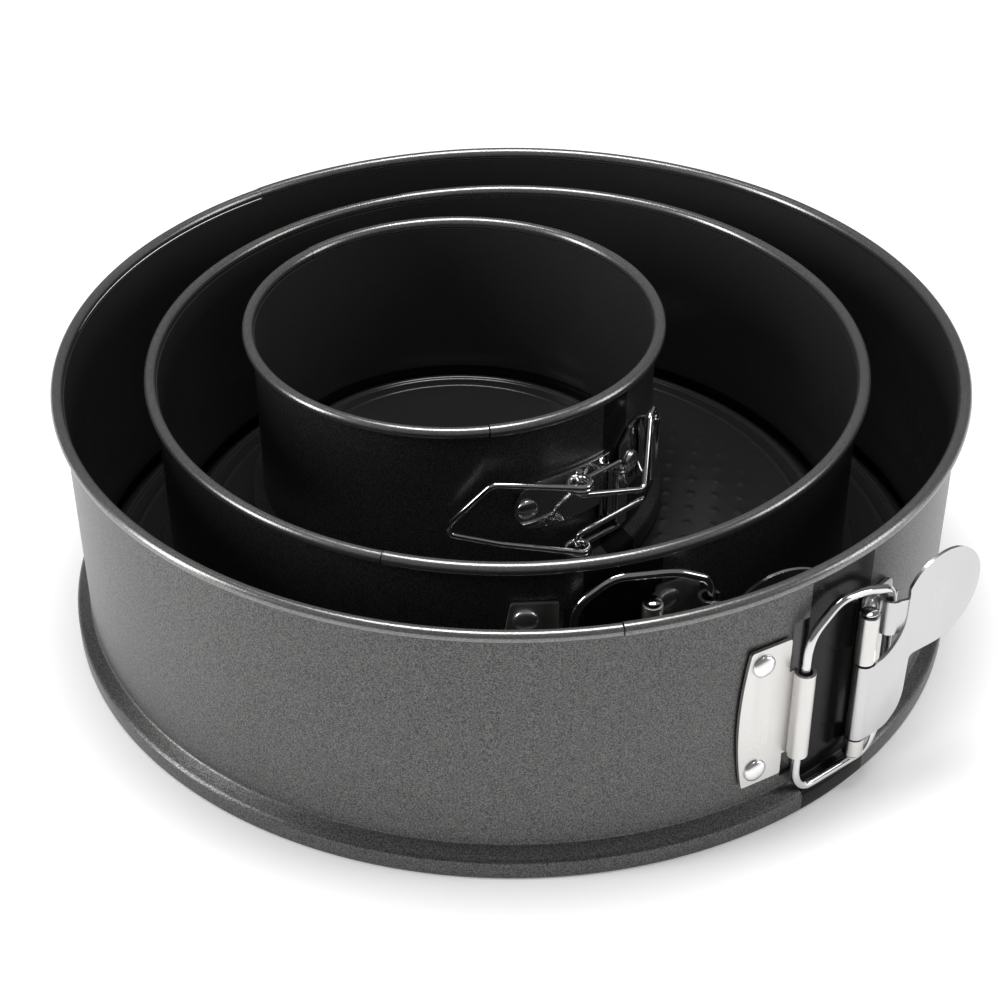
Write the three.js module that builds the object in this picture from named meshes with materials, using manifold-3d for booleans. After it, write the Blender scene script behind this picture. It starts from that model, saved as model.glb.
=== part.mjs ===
// A nested set of three springform cake pans, each a springy sheet-steel band with a rolled rim and
// a channel at its foot, a loose base plate held in that channel, and an over-centre latch.
// Millimetres, +Z up. The origin is on the table under the centre of the large pan.
// Angles round a band are in degrees, from the front (-Y) towards the right (+X).
import * as THREE from "three";
import { mergeVertices } from "three/addons/utils/BufferGeometryUtils.js";
import Module from "manifold-3d";

const wasm = await Module();
wasm.setup();

// ---- driving dimensions -------------------------------------------------------------------------
const GAP = 0.3;                  // clearance between pieces that touch on the real pan

const SHEET = 0.7;                // band sheet with its coating
const WALL_TOP = -2.2;            // where the wall runs into the rolled rim, from the rim's centre
const BEAD_RADIUS = 1.65;         // rolled rim
const BEAD_OFFSET = 1.04;         // rim centre beyond the wall's outer face
const STUB = 0.4;                 // strip that joins the wall to the rim
const TONGUE_TOP = -4.3;          // inner end of the band, which slides under the outer end
const ROLL_Z = -1.4;              // where the tongue turns out into the rim
const TONGUE_FOOT = 8;
const TONGUE_DEPTH = 1.3;         // its outer face inside the wall's outer face
const TONGUE_SHEET = 0.55;

const BASE_SHEET = 0.8;
const BASE_EDGE_Z = 1.3;          // underside of the base plate's edge, inside the channel
const FLOOR_Z = 5.3;              // top of the base plate
const RING_INSET = 7.5;           // ring step in the floor, in from the wall
const RING_DEPTH = 0.6;
const NEST_STEP = FLOOR_Z + GAP;  // each inner pan stands on the floor of the next one out

const PLATE = 0.9;                // latch bracket sheet
const RIVET_HEAD = 2.75;
const RIVET_DOME = 1.2;
const RIVET_SHANK = 1.3;
const RIVET_TAIL = 2.3;
const HOLE = RIVET_SHANK + GAP;

// rim: height of the rolled rim's centre above the pan's foot. facet: one facet round the pan.
// seam: where the rolled rims of the two band ends meet. end: edge of the outer end of the band.
// back: where the band is divided so that it can spread. short: cut off the bottom of the latch.
const LARGE = {
  name: "large", wall: 115.3, rim: 70.8, x: 0, y: 0, level: 0, facet: 9,
  seam: 12, end: 36, back: 219.7, short: 0,
  pivot: 43.7, anchor: 34.6, reach: 8.6, reachOut: -0.3, latchZ: 34.3,
  paddle: { x: 21.4, rise: 14.7, radius: 13.6 }, tipOut: 5.7,
};
const MID = {
  name: "mid", wall: 92.3, rim: 61, x: -1, y: 6.2, level: NEST_STEP, facet: 10,
  seam: -17.5, end: 11, short: 3.8,
  pivot: 20.4, anchor: 9.3, reach: 15, reachOut: -0.3, latchZ: 30.3,
  paddle: { x: 33, rise: 7.1, radius: 15.5 }, tipOut: 4.8,
};
const SMALL = {
  name: "small", wall: 54.6, rim: 55.4, x: -15.4, y: 23.8, level: 2 * NEST_STEP, facet: 12,
  seam: 10.5, end: 46, back: 229,
};
const BACK_GAP = 0.35;            // half the gap between the band's halves at the back

// Sheet latch of the large and mid pans, along the band (x), outward (o) and up from its middle.
const PIVOT_STAND = 4.5;          // hinge pin beyond the wall
const ANCHOR_STAND = 3.2;         // bail's eye on the other bracket beyond the wall
const BARREL = 2.65;              // rolled eye round the bail
const KNUCKLE = 2.5;
const KNUCKLE_BORE = 1.65;
const PIN = 1.3;
const BAIL_WIRE = 1.15;
const BRACKET_HEIGHT = 41;
const ANCHOR_REACH = 9.2;         // from the middle of a bracket plate to its rolled eye
const HINGE_REACH = 8;
const LEVER_SHEET = 0.8;

// Wire latch of the small pan: polar places round the band, height above the pan's foot.
const WIRE = 0.8;
const HANDLE_PIVOT = { angle: 49, stand: 3.97, low: 16.5, high: 32.7, outer: 1.85, bore: 1.2 };
const EYE = { angle: 31.8, stand: 7.46, radius: 3.3, low: 17.3, high: 37.8 };
const HOOK = { angle: 64.5, stand: 4.39, low: 21.5, high: 40.6, outer: 1.75, bore: 1.15 };
const STRAP = { from: 17, to: 47.5, low: 22.6, high: 37.4, rivet: 20.5 };
const HOOK_PLATE = { from: 52, to: 63.5, low: 21.5, high: 39.6, rivet: 57.6 };
const STRAP_FACET = 4;

const SATIN = { color: 0xe4e0da, roughness: 0.35, metalness: 0.9 };
const CHROME = { color: 0xe8e8ea, roughness: 0.12, metalness: 1 };
const COATED = { color: 0x3a3b3d, roughness: 0.4, metalness: 0.6 };
const GLOSS = { color: 0x141415, roughness: 0.2, metalness: 0.4 };

const radians = THREE.MathUtils.degToRad;
const set = new THREE.Group();

// ---- solids -------------------------------------------------------------------------------------
function signedVolume(geometry) {
  const p = geometry.attributes.position;
  const index = geometry.index;
  const corners = [new THREE.Vector3(), new THREE.Vector3(), new THREE.Vector3()];
  let volume = 0;
  for (let i = 0; i < index.count; i += 3) {
    corners.forEach((corner, k) => corner.fromBufferAttribute(p, index.getX(i + k)));
    volume += corners[0].dot(corners[1].clone().cross(corners[2])) / 6;
  }
  return volume;
}

// A closed geometry as a manifold solid, with its faces pointing out.
function solid(geometry) {
  const plain = geometry.clone();
  plain.deleteAttribute("normal");
  plain.deleteAttribute("uv");
  const merged = mergeVertices(plain, 1e-4);
  const index = Array.from(merged.index.array);
  if (signedVolume(merged) < 0) index.reverse();
  return new wasm.Manifold(new wasm.Mesh({
    numProp: 3,
    vertProperties: new Float32Array(merged.attributes.position.array),
    triVerts: new Uint32Array(index),
  }));
}

function join(...solids) {
  return solids.reduce((all, next) => all.add(next));
}

function geometryOf(body) {
  const mesh = body.getMesh();
  const geometry = new THREE.BufferGeometry();
  geometry.setAttribute("position", new THREE.BufferAttribute(mesh.vertProperties, 3));
  geometry.setIndex(new THREE.BufferAttribute(mesh.triVerts, 1));
  geometry.computeVertexNormals();
  return geometry;
}

function polygon(points) {
  return new THREE.Shape(points.map(([x, y]) => new THREE.Vector2(x, y)));
}

// A plan outline of [x, y] points, standing from z = low to z = high.
function upright(points, low, high) {
  const geometry = new THREE.ExtrudeGeometry(polygon(points), { depth: high - low, bevelEnabled: false });
  return solid(geometry.translate(0, 0, low));
}

// A front-view outline of [x, z] points, reaching outward from "inner" to "outer" beyond the centre.
function facing(points, inner, outer) {
  const options = { depth: outer - inner, bevelEnabled: false };
  const geometry = new THREE.ExtrudeGeometry(polygon(points), options);
  return solid(geometry.rotateX(Math.PI / 2).translate(0, -inner, 0));
}

function arc(x, y, radius, from, to, count) {
  return Array.from({ length: count + 1 }, (_, i) => {
    const angle = radians(from + ((to - from) * i) / count);
    return [x + radius * Math.cos(angle), y + radius * Math.sin(angle)];
  });
}

function post(x, y, radius, low, high, sides = 12) {
  const geometry = new THREE.CylinderGeometry(radius, radius, high - low, sides);
  return solid(geometry.rotateX(Math.PI / 2).translate(x, y, (low + high) / 2));
}

function tube(x, y, outer, bore, low, high) {
  return post(x, y, outer, low, high).subtract(post(x, y, bore, low - 1, high + 1));
}

// A closed [radius, z] outline turned round the pan's axis from one angle to another.
function sweep(outline, from, to, facet) {
  const steps = Math.max(1, Math.ceil((to - from) / facet));
  const full = to - from >= 360;
  const rings = full ? steps : steps + 1;
  const size = outline.length;
  const positions = [];
  for (let i = 0; i < rings; i += 1) {
    const angle = radians(from + ((to - from) * i) / steps);
    outline.forEach(([r, z]) => positions.push(r * Math.sin(angle), -r * Math.cos(angle), z));
  }
  const index = [];
  for (let i = 0; i < steps; i += 1) {
    const here = i * size;
    const next = ((i + 1) % rings) * size;
    for (let j = 0; j < size; j += 1) {
      const k = (j + 1) % size;
      index.push(here + j, next + j, next + k, here + j, next + k, here + k);
    }
  }
  if (!full) {
    const flat = outline.map(([r, z]) => new THREE.Vector2(r, z));
    const last = (rings - 1) * size;
    THREE.ShapeUtils.triangulateShape(flat, []).forEach(([a, b, c]) => {
      const turned = THREE.ShapeUtils.area([flat[a], flat[b], flat[c]]) > 0;
      const [p, q] = turned === THREE.ShapeUtils.area(flat) > 0 ? [b, c] : [c, b];
      index.push(a, p, q, last + a, last + q, last + p);
    });
  }
  const geometry = new THREE.BufferGeometry();
  geometry.setAttribute("position", new THREE.Float32BufferAttribute(positions, 3));
  geometry.setIndex(index);
  return solid(geometry);
}

// A round wire through [x, y, z] points, with its corners rounded.
function wire(points, radius, bend, spacing = 2.8) {
  const places = points.map((p) => new THREE.Vector3(...p));
  const path = new THREE.CurvePath();
  let start = places[0];
  for (let i = 1; i < places.length - 1; i += 1) {
    const back = places[i - 1].clone().sub(places[i]);
    const ahead = places[i + 1].clone().sub(places[i]);
    const cut = Math.min(bend, back.length() * 0.45, ahead.length() * 0.45);
    const entry = places[i].clone().add(back.setLength(cut));
    const exit = places[i].clone().add(ahead.setLength(cut));
    path.add(new THREE.LineCurve3(start, entry));
    path.add(new THREE.QuadraticBezierCurve3(entry, places[i], exit));
    start = exit;
  }
  path.add(new THREE.LineCurve3(start, places[places.length - 1]));
  const section = polygon(arc(0, 0, radius, 0, 360, 6).slice(0, 6));
  const steps = Math.round(path.getLength() / spacing);
  return solid(new THREE.ExtrudeGeometry(section, { extrudePath: path, steps, bevelEnabled: false }));
}

// Puts a solid in the set as a named mesh, turned round its pan's axis to the given angle.
function place(name, body, pan, angle, finish) {
  const mesh = new THREE.Mesh(geometryOf(body), new THREE.MeshStandardMaterial(finish));
  mesh.name = `${pan.name}_${name}`;
  mesh.position.set(pan.x, pan.y, pan.level);
  mesh.rotation.z = radians(angle);
  set.add(mesh);
}

// ---- band and base ------------------------------------------------------------------------------
function wallOutline({ wall, rim }) {
  const top = rim + WALL_TOP;
  const outer = [[0, top], [0, 7], [3.1, 4.8], [4.1, 3.4], [4.1, 1.2], [3.3, 0]];
  const inner = [[-1.2, 0], [-1.2, SHEET], [2.9, SHEET], [3.4, 1.5], [3.4, 3.1], [2.6, 4.1],
    [-SHEET, 6.4], [-SHEET, top]];
  return [...outer, ...inner].map(([r, z]) => [wall + r, z]);
}

function beadOutline({ wall, rim }) {
  return arc(wall + BEAD_OFFSET, rim, BEAD_RADIUS, 0, 360, 8).slice(0, 8);
}

function strip(outerRadius, thickness, low, high) {
  const inner = outerRadius - thickness;
  return [[inner, low], [outerRadius, low], [outerRadius, high], [inner, high]];
}

function stubOutline({ wall, rim }) {
  return strip(wall - 0.15, STUB, rim + WALL_TOP - 0.6, rim);
}

// The inner end of the band: a tongue under the outer end, joined to the wall by a jog, with a
// lip at its top that turns out over the outer end's edge and into the rolled rim.
function tongue(pan) {
  const face = pan.wall - TONGUE_DEPTH;
  const back = face - TONGUE_SHEET;
  const roll = pan.rim + ROLL_Z;
  const hook = [[back, TONGUE_FOOT], [face, TONGUE_FOOT], [face, roll], [pan.wall, roll],
    [pan.wall, roll + 0.8], [back, roll + 0.8]];
  const depth = TONGUE_DEPTH + TONGUE_SHEET - 0.4;
  const jog = strip(pan.wall - 0.2, depth, TONGUE_FOOT, pan.rim + TONGUE_TOP);
  return join(
    sweep(hook, pan.seam + 5, pan.end + 3, pan.facet),
    sweep(jog, pan.end + 1.3, pan.end + 2.6, pan.facet),
  );
}

function drill(body, pan, holes) {
  return holes.reduce((rest, { angle, x, z }) => {
    const bit = new THREE.CylinderGeometry(HOLE, HOLE, 8, 12).translate(x, -pan.wall, z);
    return rest.subtract(solid(bit.rotateZ(radians(angle))));
  }, body);
}

// Wall of the outer end, and its rim as far as the seam.
function outerEnd(pan, from) {
  return join(
    sweep(wallOutline(pan), from, pan.end, pan.facet),
    sweep(beadOutline(pan), from, pan.seam, pan.facet),
    sweep(stubOutline(pan), from, pan.seam, pan.facet),
  );
}

// Wall of the inner end, its tongue, and its rim, which reaches over the outer end to the seam.
function innerEnd(pan, to) {
  const start = pan.end + 0.8;
  const rim = pan.seam + THREE.MathUtils.radToDeg(0.5 / pan.wall);
  return join(
    sweep(wallOutline(pan), start, to, pan.facet),
    sweep(beadOutline(pan), rim, to, pan.facet),
    sweep(stubOutline(pan), start, to, pan.facet),
    tongue(pan),
  );
}

// A band in two halves, divided at the back.
function splitBand(pan, holes) {
  const half = THREE.MathUtils.radToDeg(BACK_GAP / pan.wall);
  const left = outerEnd(pan, pan.back - 360 + half);
  const right = innerEnd(pan, pan.back - half);
  place("band_left", drill(left, pan, holes.outer), pan, 0, COATED);
  place("band_right", drill(right, pan, holes.inner), pan, 0, COATED);
}

// A band in one piece.
function wholeBand(pan, holes) {
  const rimStart = pan.seam + THREE.MathUtils.radToDeg(0.5 / pan.wall);
  const body = join(
    sweep(wallOutline(pan), pan.end + 0.8, pan.end + 360, pan.facet),
    sweep(beadOutline(pan), rimStart, pan.seam + 360, pan.facet),
    sweep(stubOutline(pan), pan.end + 0.8, pan.seam + 360, pan.facet),
    tongue(pan),
  );
  place("band", drill(body, pan, [...holes.outer, ...holes.inner]), pan, 0, COATED);
}

// The base plate: an edge that lies in the band's channel, a riser, and a floor with a ring step.
function basePlate(pan) {
  const wall = pan.wall;
  const level = FLOOR_Z - RING_DEPTH;
  const ring = wall - RING_INSET;
  const top = [[0, FLOOR_Z], [ring - 0.6, FLOOR_Z], [ring, level], [wall - 3, level],
    [wall - 2.2, BASE_EDGE_Z + BASE_SHEET], [wall + 2.6, BASE_EDGE_Z + BASE_SHEET]];
  const under = [[wall + 2.6, BASE_EDGE_Z], [wall - 2.7, BASE_EDGE_Z], [wall - 3.5, level - BASE_SHEET],
    [0, level - BASE_SHEET]];
  const outline = [...top, ...under].map(([r, z]) => new THREE.Vector2(r, z));
  const disc = new THREE.LatheGeometry([...outline, outline[0]], Math.round(360 / pan.facet));
  place("base_plate", solid(disc.rotateX(Math.PI / 2)), pan, 0, GLOSS);
}

// ---- rivets -------------------------------------------------------------------------------------
// A rivet through a bracket plate and the band. A flush one has no tail, to clear the tongue.
function rivet(wall, x, z, flush) {
  const seat = wall + PLATE + 2 * GAP;
  const tail = wall - SHEET - 0.55;
  const head = [[0, seat + RIVET_DOME], [RIVET_HEAD * 0.65, seat + RIVET_DOME * 0.8],
    [RIVET_HEAD, seat + 0.2], [RIVET_HEAD, seat], [RIVET_SHANK, seat]];
  const end = flush
    ? [[RIVET_SHANK, wall - SHEET - 0.1], [0, wall - SHEET - 0.1]]
    : [[RIVET_SHANK, tail], [RIVET_TAIL, tail], [RIVET_TAIL, tail - 0.6], [0, tail - 0.6]];
  const points = [...head, ...end].map(([r, out]) => new THREE.Vector2(r, -out));
  return solid(new THREE.LatheGeometry([...points, points[0]], 10).translate(x, 0, z));
}

// ---- sheet latch --------------------------------------------------------------------------------
// Everything is drawn at the front of the band: x along it, -y outward.
function plateHoles(x, height) {
  return [-1, 1].map((side) => [x, side * (height / 2 - 4.6)]);
}

function bracketPlate(wall, outline, holes, latchZ) {
  const inner = wall + GAP;
  const plate = facing(outline.map(([x, z]) => [x, z + latchZ]), inner, inner + PLATE);
  return holes.reduce((rest, [x, z]) => {
    const bit = new THREE.CylinderGeometry(HOLE, HOLE, 8, 12).translate(x, -inner, z + latchZ);
    return rest.subtract(solid(bit));
  }, plate);
}

// Bracket on the outer end, whose rolled eye holds the bail.
function anchorBracket(pan) {
  const stand = pan.wall + ANCHOR_STAND;
  const angle = ANCHOR_REACH / stand;
  const x = stand * Math.sin(angle);
  const y = -stand * Math.cos(angle);
  const half = BRACKET_HEIGHT / 2;
  const bow = [[-5.4, half], [-6.8, half * 0.55], [-7.5, 0], [-6.8, -half * 0.55], [-5.4, -half]];
  const holes = plateHoles(-1.8, BRACKET_HEIGHT);
  const plate = bracketPlate(pan.wall, [[5.9, -half], [5.9, half], ...bow], holes, pan.latchZ);
  const low = pan.latchZ - 14.3;
  const high = pan.latchZ + 10.7;
  const face = -(pan.wall + GAP);
  const neck = upright([[5.2, face], [x - 1, face], [x - 1, face - PLATE], [5.2, face - PLATE]], low, high);
  const eye = tube(x, y, BARREL, BARREL - SHEET, low, high);
  const clear = post(x, y, BARREL - SHEET, low - 1, high + 1);
  return { body: join(plate, neck.subtract(clear), eye), holes };
}

// Bracket on the inner end, with two knuckles for the lever's hinge pin.
function hingeBracket(pan) {
  const stand = pan.wall + PIVOT_STAND;
  const angle = HINGE_REACH / stand;
  const x = -stand * Math.sin(angle);
  const y = -stand * Math.cos(angle);
  const half = BRACKET_HEIGHT / 2;
  const low = pan.short - 24;
  const bow = [[5.6, low], [6.8, low / 2], [7.2, 0], [6.8, half / 2], [5.6, half]];
  const holes = plateHoles(-2.2, BRACKET_HEIGHT);
  const plate = bracketPlate(pan.wall, [[-5.6, half], [-5.6, low], ...bow], holes, pan.latchZ);
  const face = -(pan.wall + GAP);
  const knuckles = [[4.9, 18.6], [pan.short - 23.7, pan.short - 18.8]].map(([from, to]) => {
    const bottom = pan.latchZ + from;
    const top = pan.latchZ + to;
    const neck = upright([[-5, face], [x - 0.6, face - 0.7], [x - 1.4, face - 2.3], [x + 0.8, face - 2],
      [-5, face - PLATE]], Math.max(bottom, pan.latchZ + low), Math.min(top, pan.latchZ + half));
    const clear = post(x, y, KNUCKLE_BORE, bottom - 1, top + 1);
    return join(tube(x, y, KNUCKLE, KNUCKLE_BORE, bottom, top), neck.subtract(clear));
  });
  return { body: join(plate, ...knuckles), holes };
}

function hingePin(pan) {
  const low = pan.latchZ - 25 + pan.short;
  const high = pan.latchZ + 20;
  const y = -(pan.wall + PIVOT_STAND);
  return join(
    post(0, y, PIN, low, high, 12),
    post(0, y, 2.1, low - 0.1, low + 0.9, 12),
    post(0, y, 2.1, high - 0.8, high, 12),
  );
}

// Lever: a knuckle on the pin, a panel out to the bend, a round thumb paddle, and a curl behind the
// panel that holds the far side of the bail. On the large pan the curl is a channel, open to the
// band and longer than the wire, so that the wire keeps clear of it while the lever swings.
function lever(pan, curl) {
  const stand = pan.wall + PIVOT_STAND;
  const z = pan.latchZ;
  const shift = pan.reach - LARGE.reach;
  const { x: discX, rise, radius } = pan.paddle;
  const discZ = z + rise;
  const side = (x, out) => [x, -(stand + out)];
  const line = [[0, 2.08], [3, 2.7], [7 + shift, 3.1], [12.8 + shift, 3.3],
    [discX + radius + 0.5, pan.tipOut]];
  const front = line.map(([x, out]) => side(x, out + LEVER_SHEET / 2));
  const back = line.map(([x, out]) => side(x, out - LEVER_SHEET / 2)).reverse();
  const sheet = upright([...front, ...back], z - 20, z + 36);
  const round = arc(discX, discZ, radius, -92, 146, 18);
  const foot = z + pan.short;
  const outline = [[-1, foot - 18.3], [7 + shift, foot - 17.3], [11 + shift, foot - 14.3],
    [12.5 + shift, foot - 10.3],
    [13 + shift, discZ - radius + 0.3], ...round,
    [10.4 + shift, z + Math.min(21, rise + 7)], [10.2 + shift, z + 13],
    [8.6 + shift, z + 9.5], [5, z + 6.1], [-1, z + 4.2]];
  const blank = sheet.intersect(facing(outline, stand - 2, stand + 12));
  const knuckle = tube(0, -stand, KNUCKLE, KNUCKLE_BORE, foot - 18.3, z + 4.2);
  const bore = post(0, -stand, KNUCKLE_BORE, z - 22, z + 22);
  const depth = -1.5;
  const walls = [side(curl.left, depth), side(curl.left, 3.1), side(curl.right + SHEET, 3.1),
    side(curl.right + SHEET, depth), side(curl.right, depth), side(curl.right, 2.2),
    side(curl.left + SHEET, 2.2), side(curl.left + SHEET, depth)];
  const channel = upright(walls, z + curl.low, z + curl.high);
  return join(blank.subtract(bore), knuckle, channel);
}

// Bail: one bent wire, flat, with its ends butted inside the rolled eye of the anchor bracket.
function bail(pan) {
  const spread = radians(pan.anchor - pan.pivot);
  const anchorStand = pan.wall + ANCHOR_STAND;
  const near = new THREE.Vector2(anchorStand * Math.sin(spread), -anchorStand * Math.cos(spread));
  const far = new THREE.Vector2(pan.reach, -(pan.wall + PIVOT_STAND + pan.reachOut));
  const length = far.distanceTo(near);
  const along = far.clone().sub(near).normalize();
  const bottom = pan.short - 27.2;
  const corners = [[0, -0.8], [0, 16.7], [1.6, 21.5], [9.2, 27], [length - 9.3, 25.6],
    [length - 1, 21.8], [length, 18.4], [length, bottom + 5.4], [length - 3.4, bottom], [3.4, bottom],
    [0, bottom + 4.6], [0, -1.3]];
  const points = corners.map(([u, z]) => {
    const spot = near.clone().addScaledVector(along, u);
    return [spot.x, spot.y, z + pan.latchZ];
  });
  return wire(points, BAIL_WIRE, 3);
}

function sheetLatch(pan, curl) {
  const toDegrees = THREE.MathUtils.radToDeg;
  const anchor = anchorBracket(pan);
  const hinge = hingeBracket(pan);
  const anchorAngle = pan.anchor - toDegrees(ANCHOR_REACH / (pan.wall + ANCHOR_STAND));
  const hingeAngle = pan.pivot + toDegrees(HINGE_REACH / (pan.wall + PIVOT_STAND));
  const fasten = (name, { body, holes }, angle, flush) => {
    place(`${name}_bracket`, body, pan, angle, SATIN);
    return holes.map(([x, dz], i) => {
      const z = pan.latchZ + dz;
      place(`${name}_rivet_${["lower", "upper"][i]}`, rivet(pan.wall, x, z, flush), pan, angle, SATIN);
      return { angle, x, z };
    });
  };
  const holes = {
    outer: fasten("bail", anchor, anchorAngle, true),
    inner: fasten("hinge", hinge, hingeAngle, false),
  };
  place("hinge_pin", hingePin(pan), pan, pan.pivot, CHROME);
  place("lever", lever(pan, curl), pan, pan.pivot, CHROME);
  place("bail", bail(pan), pan, pan.pivot, CHROME);
  return holes;
}

// ---- wire latch ---------------------------------------------------------------------------------
// A place round the small pan, "stand" beyond its wall.
function around(angle, stand, z) {
  const r = SMALL.wall + stand;
  return [r * Math.sin(radians(angle)), -r * Math.cos(radians(angle)), z];
}

function rolledEye({ angle, stand, low, high, outer, bore }) {
  const [x, y] = around(angle, stand, 0);
  return { ring: tube(x, y, outer, bore, low, high), clear: post(x, y, bore, low - 1, high + 1) };
}

function curvedPlate(from, to, low, high) {
  const outer = SMALL.wall + GAP + PLATE;
  return sweep(strip(outer, PLATE, low, high), from, to, STRAP_FACET);
}

function plateHole(body, angle, z) {
  return drill(body, SMALL, [{ angle, x: 0, z }]);
}

// A thin web from a plate's edge out to the rolled eye beside it.
function web(plateEdge, { angle, stand }, low, high) {
  const side = Math.sign(angle - plateEdge);
  const corners = [[plateEdge - 2.5 * side, GAP], [angle - 1.2 * side, stand - 2.1],
    [angle - 0.4 * side, stand - 1.3], [plateEdge - 2.5 * side, GAP + PLATE]];
  return upright(corners.map(([turn, out]) => around(turn, out, 0).slice(0, 2)), low, high);
}

function strapBracket(rivetZ) {
  const eye = rolledEye(HANDLE_PIVOT);
  const middle = (STRAP.low + STRAP.high) / 2;
  const radius = (STRAP.high - STRAP.low) / 2;
  const endAngle = STRAP.from + THREE.MathUtils.radToDeg(radius / SMALL.wall);
  const tip = facing(arc(0, middle, radius, 90, 270, 8), SMALL.wall - 2, SMALL.wall + 3);
  const turned = tip.rotate([0, 0, endAngle]);
  const end = curvedPlate(STRAP.from - 2, endAngle + 2, STRAP.low, STRAP.high).intersect(turned);
  const plate = join(end, curvedPlate(endAngle - 0.02, STRAP.to, STRAP.low, STRAP.high));
  const neck = web(STRAP.to, HANDLE_PIVOT, STRAP.low, HANDLE_PIVOT.high).subtract(eye.clear);
  return join(plateHole(plate, STRAP.rivet, rivetZ), neck, eye.ring);
}

function hookBracket(rivetZ) {
  const eye = rolledEye(HOOK);
  const plate = curvedPlate(HOOK_PLATE.from, HOOK_PLATE.to, HOOK_PLATE.low, HOOK_PLATE.high);
  const neck = web(HOOK_PLATE.to, HOOK, HOOK_PLATE.low, HOOK_PLATE.high).subtract(eye.clear);
  return join(plateHole(plate, HOOK_PLATE.rivet, rivetZ), neck, eye.ring);
}

// Handle: a bent wire with an eye in each arm, its tails turned into the strap bracket's eye.
function handle() {
  const { angle, stand, radius, low, high } = EYE;
  const pivot = HANDLE_PIVOT;
  const eyes = [low, high].map((z) => {
    const ring = new THREE.TorusGeometry(radius, WIRE, 6, 12);
    return solid(ring.translate(...around(angle, stand, z)));
  });
  const tails = [[high, pivot.high + 2.5, pivot.high - 5], [low, pivot.low - 2, pivot.low + 5]];
  const arms = tails.map(([z, turn, inside]) => wire([
    around(angle + 3.1, stand + 0.4, z),
    around(pivot.angle, pivot.stand, turn),
    around(pivot.angle, pivot.stand, inside),
  ], WIRE, 1.4));
  const grip = wire([
    around(angle, stand + radius, high),
    around(10.4, 4.8, 41.6),
    around(-0.6, 4.5, 29.6),
    around(-0.4, 4.5, 26.6),
    around(12.3, 4.8, 22.8),
    around(angle, stand + radius, low),
  ], WIRE, 1.6);
  return join(grip, ...eyes, ...arms);
}

// Link: one wire down through the hook bracket's eye, bowed out over the handle's pivot, its ends
// turned down and up through the handle's eyes.
function link() {
  const pin = [EYE.angle, EYE.stand];
  const hook = [HOOK.angle, HOOK.stand];
  return wire([
    around(...pin, EYE.high + 4.1),
    around(...pin, EYE.high - 3.4),
    around(48.5, 12.2, 30.3),
    around(60.5, 4.9, HOOK.high + 3),
    around(...hook, HOOK.high + 3),
    around(...hook, HOOK.low - 2),
    around(48.2, 12.2, 27.3),
    around(...pin, EYE.low + 4.5),
    around(...pin, EYE.low - 3),
  ], WIRE, 1.7);
}

function wireLatch(pan) {
  const z = 29.6;
  place("strap_bracket", strapBracket(z), pan, 0, CHROME);
  place("hook_bracket", hookBracket(z), pan, 0, CHROME);
  place("strap_rivet", rivet(pan.wall, 0, z, true), pan, STRAP.rivet, SATIN);
  place("hook_rivet", rivet(pan.wall, 0, z, false), pan, HOOK_PLATE.rivet, SATIN);
  place("handle", handle(), pan, 0, CHROME);
  place("link", link(), pan, 0, CHROME);
  return {
    outer: [{ angle: STRAP.rivet, x: 0, z }],
    inner: [{ angle: HOOK_PLATE.rivet, x: 0, z }],
  };
}

// ---- the nested set -----------------------------------------------------------------------------
[LARGE, MID, SMALL].forEach(basePlate);
splitBand(LARGE, sheetLatch(LARGE, { left: 3.1, right: 10, low: 9.7, high: 19.5 }));
wholeBand(MID, sheetLatch(MID, { left: 12.8, right: 16.5, low: 7, high: 16 }));
splitBand(SMALL, wireLatch(SMALL));

export default set;
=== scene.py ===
"""Nested springform pans: the looks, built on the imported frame.

Shapes are worked out in millimetres and put into meshes in metres. Angles round a pan are in
degrees, from the front (-Y) towards the right (+X). A place on a latch is (along, out, up): along
the band to the right, outward from the wall, and up from the pan's foot.
"""

import itertools
import math

import bmesh
import bpy
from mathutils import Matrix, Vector, geometry


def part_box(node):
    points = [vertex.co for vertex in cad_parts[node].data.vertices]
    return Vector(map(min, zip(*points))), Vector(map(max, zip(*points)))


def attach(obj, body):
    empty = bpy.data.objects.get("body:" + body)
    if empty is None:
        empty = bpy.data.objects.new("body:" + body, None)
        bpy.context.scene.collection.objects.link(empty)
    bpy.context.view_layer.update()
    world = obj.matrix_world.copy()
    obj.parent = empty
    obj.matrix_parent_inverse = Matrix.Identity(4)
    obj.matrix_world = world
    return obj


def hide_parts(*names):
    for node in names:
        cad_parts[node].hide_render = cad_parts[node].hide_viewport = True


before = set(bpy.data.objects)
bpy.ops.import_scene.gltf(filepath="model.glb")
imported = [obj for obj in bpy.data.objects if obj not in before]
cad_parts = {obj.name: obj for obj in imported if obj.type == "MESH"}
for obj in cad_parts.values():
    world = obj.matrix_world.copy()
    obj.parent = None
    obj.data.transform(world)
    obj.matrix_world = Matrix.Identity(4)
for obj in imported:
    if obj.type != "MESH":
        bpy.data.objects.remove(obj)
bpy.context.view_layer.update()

MM = 0.001
SHEET = 0.7
BEAD_OFFSET = 1.04
FLOOR_Z = 5.3
PLATE = 0.9
GAP = 0.3
PIVOT_STAND = 4.5
ANCHOR_STAND = 3.2
BARREL = 2.65
KNUCKLE = 2.5
BAIL_WIRE = 1.15
BRACKET_HEIGHT = 41
LEVER_SHEET = 0.75
RIVET_INSET = 4.6
WIRE = 0.8
SWEEP_STEP = 1.5
OUTER_RIM = 1.5
INNER_RIM = 1.65
RECESS = 4.6
WAFFLE_PITCH = 7.1
WAFFLE_TURN = -8
WAFFLE_HEIGHT = 0.3


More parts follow.
